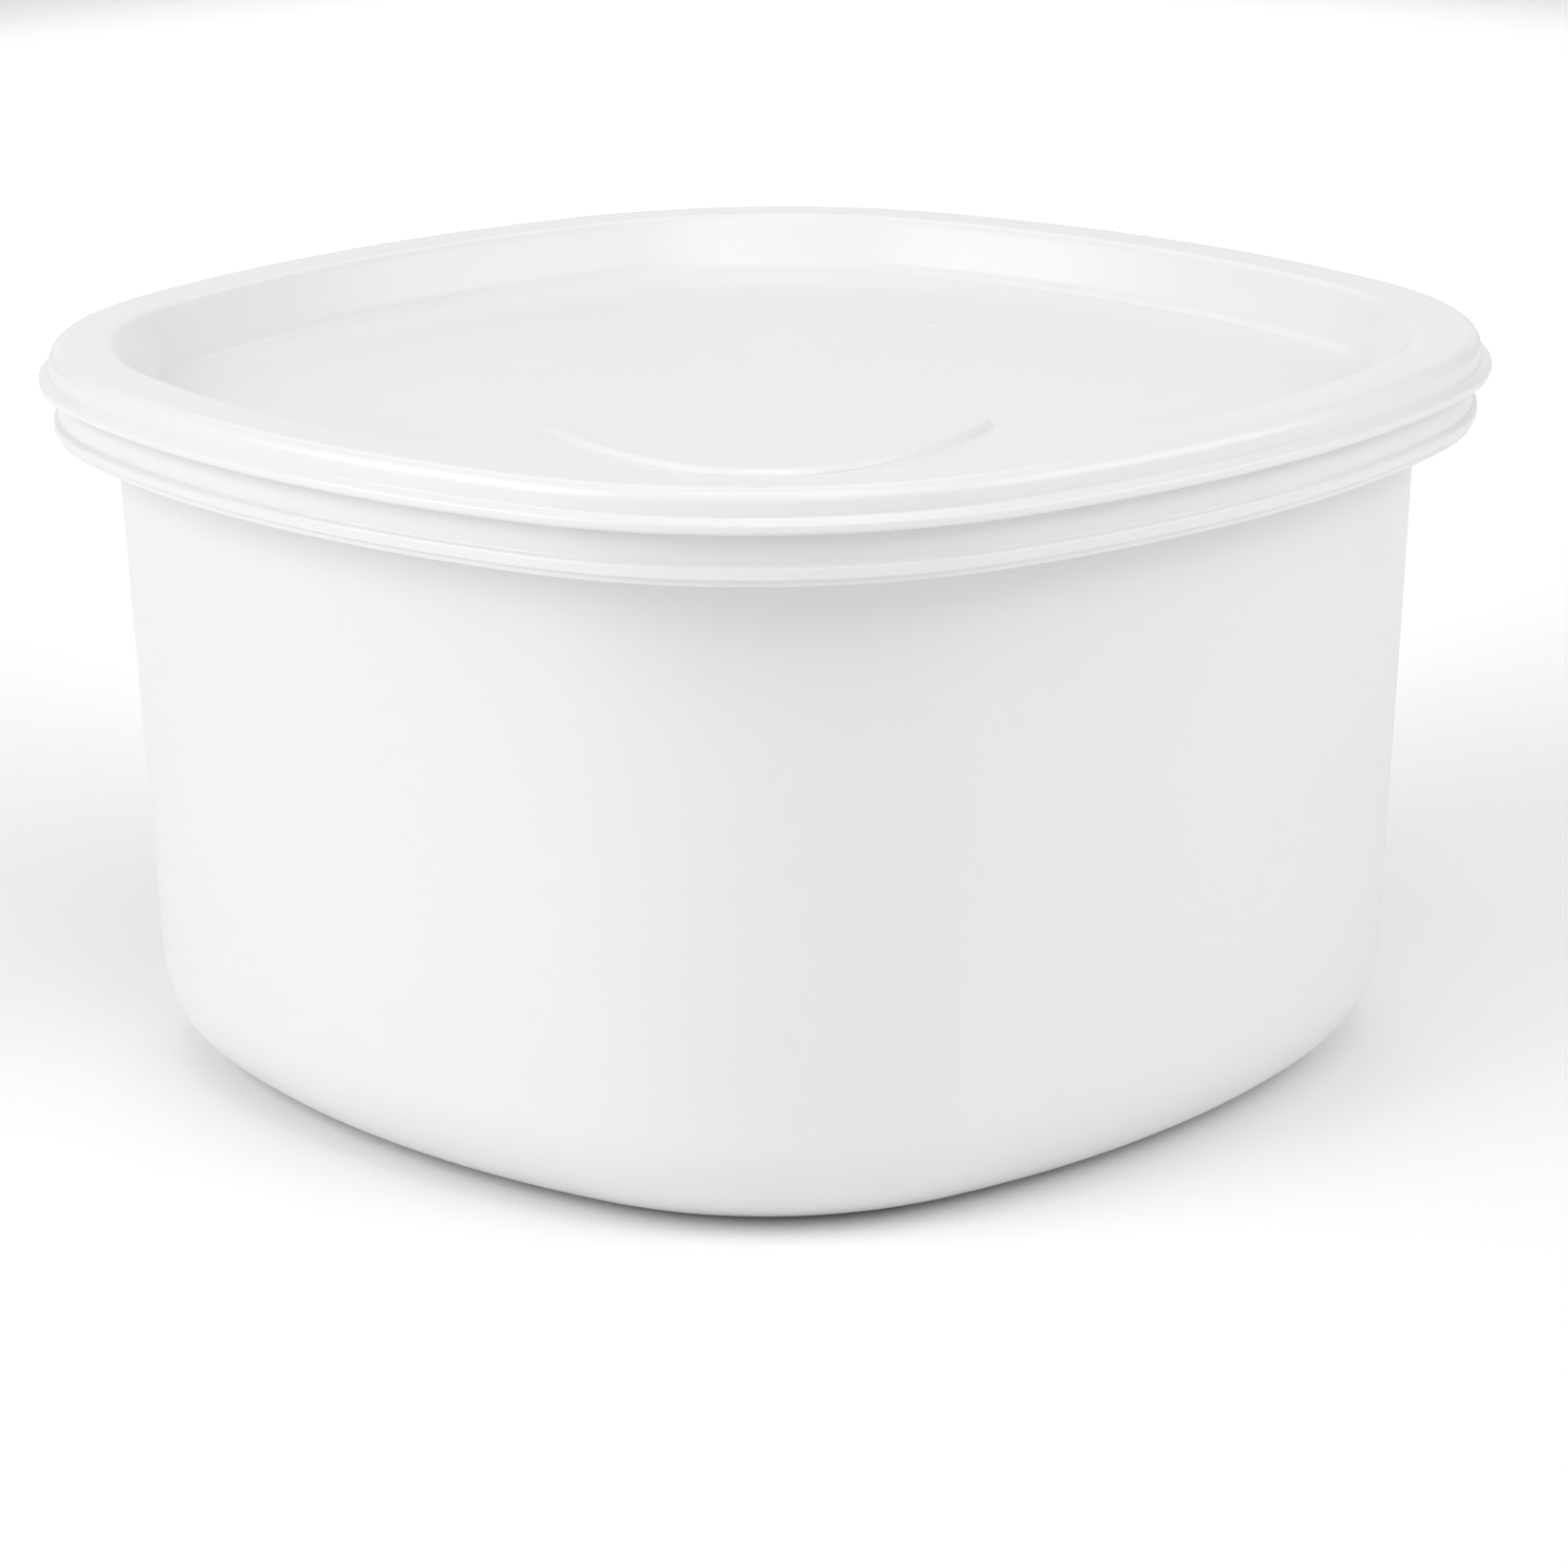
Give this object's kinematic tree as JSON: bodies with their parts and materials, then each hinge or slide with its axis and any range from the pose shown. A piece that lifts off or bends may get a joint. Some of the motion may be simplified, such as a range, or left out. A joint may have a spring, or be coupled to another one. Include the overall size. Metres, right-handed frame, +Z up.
{
  "type": "freezer container",
  "caption": "Square freezer container with bowed sides, flared tub, flanged rim and a press-on lid with a recessed top and a curved finger rib, standing shut",
  "frame": {"origin": "on the ground, under the middle of the base", "axes": "+Z up through the lid, X and Y square to the bowed sides, the lid's finger rib towards the corner at -X -Y"},
  "size_m": [0.1936, 0.1936, 0.1073],
  "materials": {
    "tub_plastic": "smooth satin gloss, opaque white",
    "lid_plastic": "smooth satin gloss, opaque white"
  },
  "bodies": {
    "root": {"tub": "tub_plastic", "lid": "lid_plastic"}
  },
  "joints": []
}
